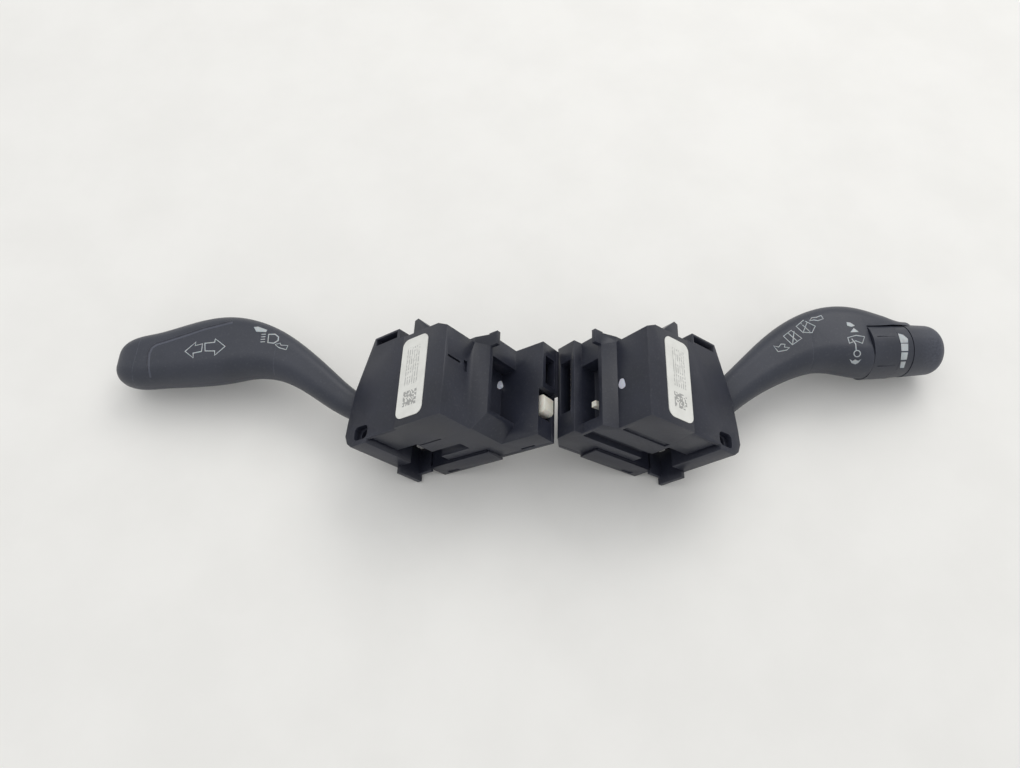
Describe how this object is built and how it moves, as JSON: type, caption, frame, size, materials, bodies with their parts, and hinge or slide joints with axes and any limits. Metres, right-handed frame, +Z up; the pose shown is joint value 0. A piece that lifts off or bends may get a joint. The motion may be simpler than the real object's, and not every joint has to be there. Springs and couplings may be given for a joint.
{
  "type": "combination stalk switch",
  "caption": "Pair of steering-column stalk switch modules, turn-signal stalk and wiper stalk with rotary ring and end knob, lying as a mirrored pair on a table.",
  "frame": {"origin": "middle of the pair's outline, at the lowest point, on the surface it lies on", "axes": "+X from the turn stalk's tip to the wiper stalk's tip, +Y up the column's face towards the latch tabs, +Z up"},
  "size_m": [0.3818, 0.0861, 0.0631],
  "materials": {
    "base_grey": "smooth moulded",
    "board_green": "solder-resist lacquer",
    "brass": "tinned brass",
    "dark_switch": "smooth moulded",
    "flange_black": "fine moulded grain",
    "label_white": "coated paper label",
    "module_black": "fine moulded grain, worn at the edges",
    "natural_white": "unpigmented acetal",
    "stalk_charcoal": "soft satin grain",
    "stalk_trim": "smooth satin",
    "steel": "bright zinc plate"
  },
  "bodies": {
    "modules": {"pawl_pin": "steel", "turn_base": "base_grey", "turn_base_screws": "steel", "turn_bearing_bridge": "dark_switch", "turn_circuit_board": "board_green", "turn_connector_pins": "brass", "turn_detent_block": "natural_white", "turn_flange": "flange_black", "turn_flash_switch": "dark_switch", "turn_housing": "module_black", "turn_label": "label_white", "turn_pin_header": "dark_switch", "wiper_base": "base_grey", "wiper_base_screws": "steel", "wiper_bearing_bridge": "dark_switch", "wiper_circuit_board": "board_green", "wiper_clip": "natural_white", "wiper_connector_pins": "brass", "wiper_detent_block": "natural_white", "wiper_flange": "flange_black", "wiper_housing": "module_black", "wiper_label": "label_white", "wiper_pin_header": "dark_switch", "wiper_wash_switch": "dark_switch"},
    "turn_yoke": {"turn_yoke": "natural_white", "turn_pull_pin": "steel"},
    "turn_lever": {"turn_lever_arm": "stalk_charcoal", "turn_knob_upper": "stalk_charcoal", "turn_knob_lower": "stalk_charcoal", "turn_end_cap": "stalk_charcoal", "turn_core_rod": "steel", "turn_detent_spring": "steel"},
    "turn_plunger": {"turn_detent_plunger": "natural_white"},
    "turn_slider": {"turn_contact_slider": "natural_white", "turn_contact_strips": "brass"},
    "flash_button": {"turn_flash_button": "natural_white"},
    "cancel_pawl": {"cancel_pawl": "natural_white"},
    "wiper_yoke": {"wiper_yoke": "natural_white", "wiper_pull_pin": "steel"},
    "wiper_lever": {"wiper_lever_arm": "stalk_charcoal", "wiper_knob_body": "stalk_charcoal", "wiper_ring_shaft": "steel", "bar_band": "stalk_trim", "wiper_detent_spring": "steel"},
    "wiper_plunger": {"wiper_detent_plunger": "natural_white"},
    "wiper_slider": {"wiper_contact_slider": "natural_white", "wiper_contact_strips": "brass"},
    "wash_button": {"wiper_wash_button": "natural_white"},
    "rear_wiper_ring": {"rear_wiper_ring": "stalk_trim"},
    "interval_knob": {"interval_knob": "stalk_trim"}
  },
  "joints": [
    {"name": "turn_signal", "type": "hinge", "parent": "modules", "child": "turn_yoke", "pos_m": [-0.04501, -0.01735, 0.02801], "axis": [0.6191, 0, -0.7853], "range_deg": [-12, 12]},
    {"name": "flash_pull", "type": "hinge", "parent": "turn_yoke", "child": "turn_lever", "pos_m": [-0.04501, -0.01735, 0.02801], "axis": [0, 1, 0], "range_deg": [0, 8], "stiffness_Nm_per_rad": 1.5, "springref_deg": -2.86},
    {"name": "wiper_speed", "type": "hinge", "parent": "modules", "child": "wiper_yoke", "pos_m": [0.057, -0.01495, 0.02801], "axis": [0.6191, 0, 0.7853], "range_deg": [-4, 12]},
    {"name": "wash_pull", "type": "hinge", "parent": "wiper_yoke", "child": "wiper_lever", "pos_m": [0.057, -0.01495, 0.02801], "axis": [0, -1, 0], "range_deg": [0, 8], "stiffness_Nm_per_rad": 1.5, "springref_deg": -4.01},
    {"name": "turn_detent", "type": "slide", "parent": "turn_lever", "child": "turn_plunger", "axis": [-0.7853, 0, -0.6191], "range_m": [0, 0.0012], "stiffness_N_per_m": 500, "springref_m": -0.001},
    {"name": "turn_contacts", "type": "slide", "parent": "modules", "child": "turn_slider", "axis": [0, -1, 0], "range_m": [-0.00135, 0.00135]},
    {"name": "wiper_detent", "type": "slide", "parent": "wiper_lever", "child": "wiper_plunger", "axis": [0.7853, 0, -0.6191], "range_m": [0, 0.0012], "stiffness_N_per_m": 500, "springref_m": -0.001},
    {"name": "wiper_contacts", "type": "slide", "parent": "modules", "child": "wiper_slider", "axis": [0, -1, 0], "range_m": [-0.0006, 0.0017]},
    {"name": "flash_contact", "type": "slide", "parent": "modules", "child": "flash_button", "axis": [0.6191, 0, -0.7853], "range_m": [0, 0.0017], "stiffness_N_per_m": 100, "springref_m": -0.0005},
    {"name": "wash_contact", "type": "slide", "parent": "modules", "child": "wash_button", "axis": [-0.6191, 0, -0.7853], "range_m": [0, 0.0017], "stiffness_N_per_m": 100, "springref_m": -0.0005},
    {"name": "pawl_swing", "type": "hinge", "parent": "modules", "child": "cancel_pawl", "pos_m": [-0.00315, -0.0232, 0.03548], "axis": [0.6191, 0, -0.7853], "range_deg": [-8, 8], "stiffness_Nm_per_rad": 0.02},
    {"name": "rear_wiper", "type": "hinge", "parent": "wiper_lever", "child": "rear_wiper_ring", "pos_m": [0.15169, 0.02185, 0.0186], "axis": [0.9848, 0.1255, -0.12], "range_deg": [-30, 30]},
    {"name": "interval_set", "type": "hinge", "parent": "wiper_lever", "child": "interval_knob", "pos_m": [0.15169, 0.02185, 0.0186], "axis": [0.9848, 0.1255, -0.12], "range_deg": [0, 60]}
  ],
  "couplings": [
    {"joint": "turn_contacts", "follows": "turn_signal", "m_per_rad": 0.006},
    {"joint": "wiper_contacts", "follows": "wiper_speed", "m_per_rad": 0.006},
    {"joint": "flash_contact", "follows": "flash_pull", "m_per_rad": 0.0115},
    {"joint": "wash_contact", "follows": "wash_pull", "m_per_rad": 0.0115}
  ]
}
